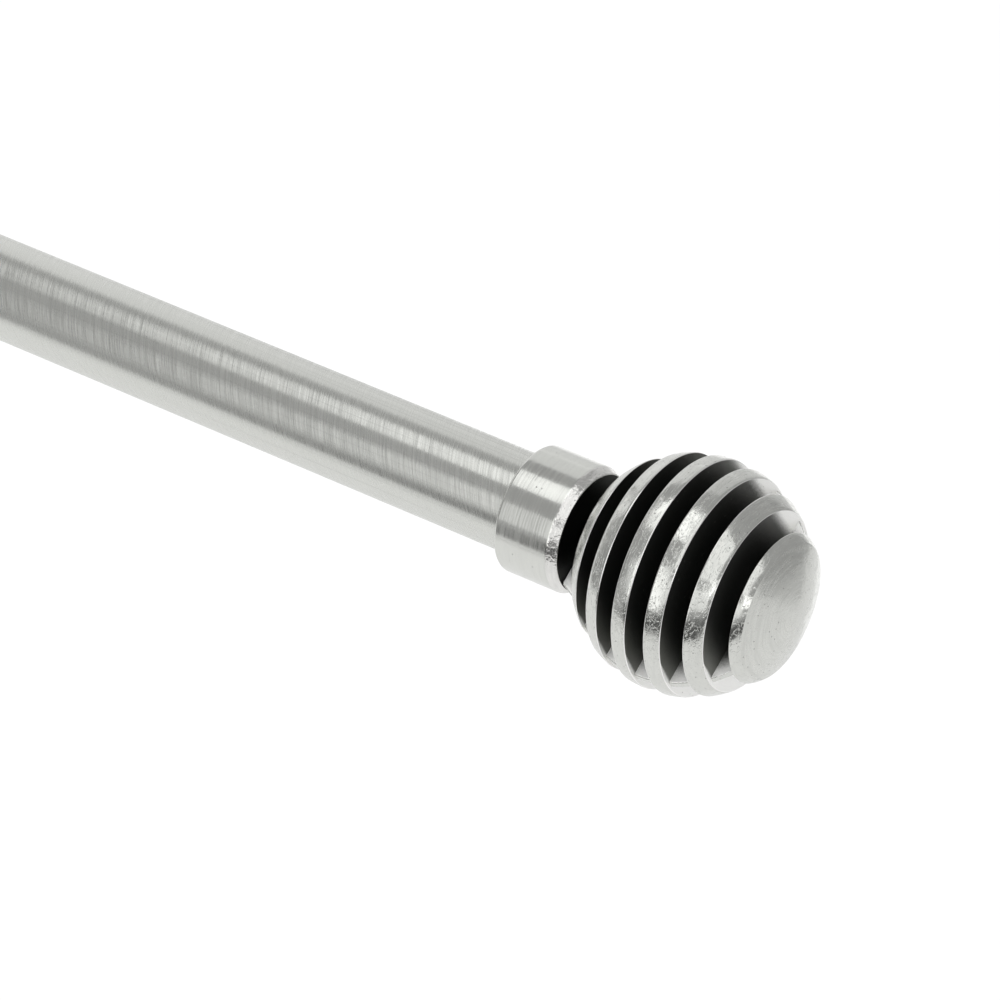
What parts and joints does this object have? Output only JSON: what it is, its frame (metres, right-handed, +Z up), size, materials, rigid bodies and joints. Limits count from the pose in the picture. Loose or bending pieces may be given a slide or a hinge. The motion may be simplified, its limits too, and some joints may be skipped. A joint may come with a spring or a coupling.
{
  "type": "curtain rod with brackets",
  "caption": "Adjustable telescoping curtain rod with slotted ball finials and adjustable-projection wall brackets.",
  "frame": {"origin": "centre of the right wall plate's back face, on the wall", "axes": "+X along the rod towards the right-hand finial, +Y into the wall, +Z up"},
  "size_m": [1.2914, 0.1193, 0.0817],
  "materials": {
    "rod_tube": "brushed nickel plate, fine scratches around the tube",
    "finial_collar": "satin nickel plate, turned, with a bright nose",
    "finial_ball": "polished nickel plate with fine turning lines and pits; matt black in the slots",
    "bracket": "satin nickel plate",
    "thumb_screw": "satin nickel plate, fluted",
    "plain_steel": "zinc-plated steel, dull",
    "nylon": "natural nylon, matt"
  },
  "bodies": {
    "wall_side": {"right_wall_plate": "bracket", "right_arm_socket": "bracket", "left_wall_plate": "bracket", "left_arm_socket": "bracket"},
    "right_arm": {"right_slide_bar": "bracket", "right_cradle": "bracket", "right_weld_nut": "plain_steel"},
    "left_arm": {"left_slide_bar": "bracket", "left_cradle": "bracket", "left_weld_nut": "plain_steel"},
    "outer_rod": {"outer_tube": "rod_tube", "mouth_bushing": "nylon", "right_end_plug": "plain_steel"},
    "inner_rod": {"inner_tube": "rod_tube", "guide_plug": "nylon", "left_end_plug": "plain_steel"},
    "right_finial_collar": {"right_collar": "finial_collar"},
    "right_finial_ball": {"right_ball": "finial_ball", "right_stud": "plain_steel", "right_collar_nut": "plain_steel"},
    "left_finial_collar": {"left_collar": "finial_collar"},
    "left_finial_ball": {"left_ball": "finial_ball", "left_stud": "plain_steel", "left_collar_nut": "plain_steel"},
    "right_projection_knob": {"right_projection_screw": "thumb_screw"},
    "left_projection_knob": {"left_projection_screw": "thumb_screw"},
    "right_rod_knob": {"right_rod_screw": "thumb_screw"},
    "left_rod_knob": {"left_rod_screw": "thumb_screw"}
  },
  "joints": [
    {"name": "projection_slide", "type": "slide", "parent": "wall_side", "child": "right_arm", "axis": [0, -1, 0], "range_m": [-0.016, 0.02]},
    {"name": "left_projection_slide", "type": "slide", "parent": "wall_side", "child": "left_arm", "axis": [0, -1, 0], "range_m": [-0.016, 0.02]},
    {"name": "rod_lift", "type": "slide", "parent": "right_arm", "child": "outer_rod", "axis": [0, 0, 1], "range_m": [0, 0.045]},
    {"name": "telescope", "type": "slide", "parent": "outer_rod", "child": "inner_rod", "axis": [-1, 0, 0], "range_m": [-0.27, 0.125]},
    {"name": "right_finial_turn", "type": "hinge", "parent": "right_finial_collar", "child": "right_finial_ball", "pos_m": [0.29, -0.09, -0.0012], "axis": [-1, 0, 0], "range_deg": [0, 5040]},
    {"name": "right_finial_travel", "type": "slide", "parent": "outer_rod", "child": "right_finial_collar", "axis": [1, 0, 0], "range_m": [0, 0.0141]},
    {"name": "left_finial_turn", "type": "hinge", "parent": "left_finial_collar", "child": "left_finial_ball", "pos_m": [-0.85, -0.09, -0.0012], "axis": [1, 0, 0], "range_deg": [0, 5040]},
    {"name": "left_finial_travel", "type": "slide", "parent": "inner_rod", "child": "left_finial_collar", "axis": [-1, 0, 0], "range_m": [0, 0.0141]},
    {"name": "right_projection_knob_turn", "type": "hinge", "parent": "wall_side", "child": "right_projection_knob", "pos_m": [0, -0.047, -0.0108], "axis": [0, 0, -1], "range_deg": [0, 1080]},
    {"name": "left_projection_knob_turn", "type": "hinge", "parent": "wall_side", "child": "left_projection_knob", "pos_m": [-0.56, -0.047, -0.0091], "axis": [0, 0, -1], "range_deg": [0, 1080]},
    {"name": "right_rod_knob_turn", "type": "hinge", "parent": "right_arm", "child": "right_rod_knob", "pos_m": [0, -0.09, -0.0207], "axis": [0, 0, -1], "range_deg": [0, 1080]},
    {"name": "left_rod_knob_turn", "type": "hinge", "parent": "left_arm", "child": "left_rod_knob", "pos_m": [-0.56, -0.09, -0.019], "axis": [0, 0, -1], "range_deg": [0, 1080]}
  ],
  "couplings": [
    {"joint": "left_projection_slide", "follows": "projection_slide", "ratio": 1},
    {"joint": "right_finial_travel", "follows": "right_finial_turn", "m_per_rad": 0.00015915},
    {"joint": "left_finial_travel", "follows": "left_finial_turn", "m_per_rad": 0.00015915}
  ]
}
